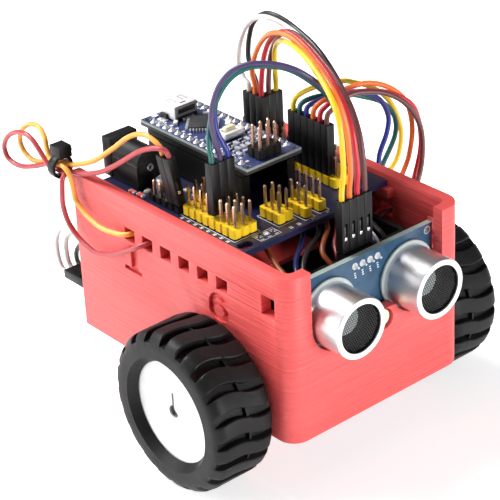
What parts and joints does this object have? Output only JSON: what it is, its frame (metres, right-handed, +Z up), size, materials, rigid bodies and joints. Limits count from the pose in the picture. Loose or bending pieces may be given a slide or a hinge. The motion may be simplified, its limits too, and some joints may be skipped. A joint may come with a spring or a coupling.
{
  "type": "line follower robot",
  "caption": "Small two-wheel line follower robot: printed tub with driven wheels and a ball caster, a distance sensor in front, and wired circuit boards on top.",
  "frame": {"origin": "on the floor under the middle of the robot without its wires and plugs", "axes": "-Y to the front where the distance sensor looks, +Z up, -X to the robot's right-hand wheel as it drives, which is the wheel nearest the camera"},
  "size_m": [0.0976, 0.1219, 0.1038],
  "materials": {
    "red_print": "printed, satin",
    "tyre": "matt rubber",
    "white_plastic": "satin",
    "steel": "bright",
    "brass_gearbox": "satin",
    "black_plastic": "satin",
    "blue_board": "solder mask, semi-gloss",
    "yellow_plastic": "satin",
    "aluminium_can": "bright",
    "cream_plastic": "satin",
    "cell_wrap": "shrink wrap",
    "dark_mesh": "dark woven mesh",
    "wire_red": "wire insulation",
    "wire_orange": "wire insulation",
    "wire_yellow": "wire insulation",
    "wire_purple": "wire insulation",
    "wire_black": "wire insulation",
    "wire_white": "wire insulation"
  },
  "bodies": {
    "robot": {"chassis": "red_print", "motor_clamp_left": "red_print", "motor_clamp_right": "red_print", "battery_cover": "red_print", "gear_motor_left": "brass_gearbox", "gear_motor_right": "brass_gearbox", "caster_housing": "black_plastic", "battery_box": "black_plastic", "battery_cell_left": "cell_wrap", "battery_cell_right": "cell_wrap", "motor_driver_board": "blue_board", "line_sensor_left": "blue_board", "line_sensor_right": "blue_board", "shield_board": "blue_board", "dc_jack": "black_plastic", "shield_header_near": "yellow_plastic", "shield_header_far": "yellow_plastic", "shield_header_a": "yellow_plastic", "shield_header_b": "yellow_plastic", "shield_header_c": "yellow_plastic", "power_header": "black_plastic", "capacitor": "aluminium_can", "controller_socket_near": "black_plastic", "controller_socket_far": "black_plastic", "controller_pins_near": "black_plastic", "controller_pins_far": "black_plastic", "controller_board": "blue_board", "usb_socket": "steel", "microcontroller": "black_plastic", "reset_button_body": "white_plastic", "programming_header": "black_plastic", "ultrasonic_board": "blue_board", "transducer_left": "aluminium_can", "transducer_right": "aluminium_can", "mesh_left": "dark_mesh", "mesh_right": "dark_mesh", "crystal": "steel", "ultrasonic_header": "black_plastic", "ultrasonic_plug": "black_plastic", "signal_plug": "black_plastic", "line_plug": "black_plastic", "near_plug": "black_plastic", "power_plug": "black_plastic", "rear_plug": "black_plastic", "cable_tie": "black_plastic", "wire_power_red": "wire_red", "wire_power_orange": "wire_orange", "wires_ultrasonic": "wire_orange", "wires_line": "wire_yellow", "wires_near": "wire_purple", "wires_aux": "wire_black", "wires_rear": "wire_white"},
    "left_wheel": {"tyre_left": "tyre", "rim_left": "white_plastic", "motor_shaft_left": "steel"},
    "right_wheel": {"tyre_right": "tyre", "rim_right": "white_plastic", "motor_shaft_right": "steel"},
    "caster_ball": {"caster_ball": "steel"},
    "reset_plunger": {"reset_button_plunger": "cream_plastic"}
  },
  "joints": [
    {"name": "left_wheel_spin", "type": "hinge", "parent": "robot", "child": "left_wheel", "pos_m": [-0.0397, -0.0131, 0.0216], "axis": [1, 0, 0], "continuous": true},
    {"name": "right_wheel_spin", "type": "hinge", "parent": "robot", "child": "right_wheel", "pos_m": [0.0397, -0.0131, 0.0216], "axis": [1, 0, 0], "continuous": true},
    {"name": "caster_ball_roll", "type": "hinge", "parent": "robot", "child": "caster_ball", "pos_m": [0, 0.0329, 0.006], "axis": [1, 0, 0], "continuous": true},
    {"name": "reset_button_press", "type": "slide", "parent": "robot", "child": "reset_plunger", "axis": [0, 0, -1], "range_m": [0, 0.0004], "stiffness_N_per_m": 200}
  ]
}
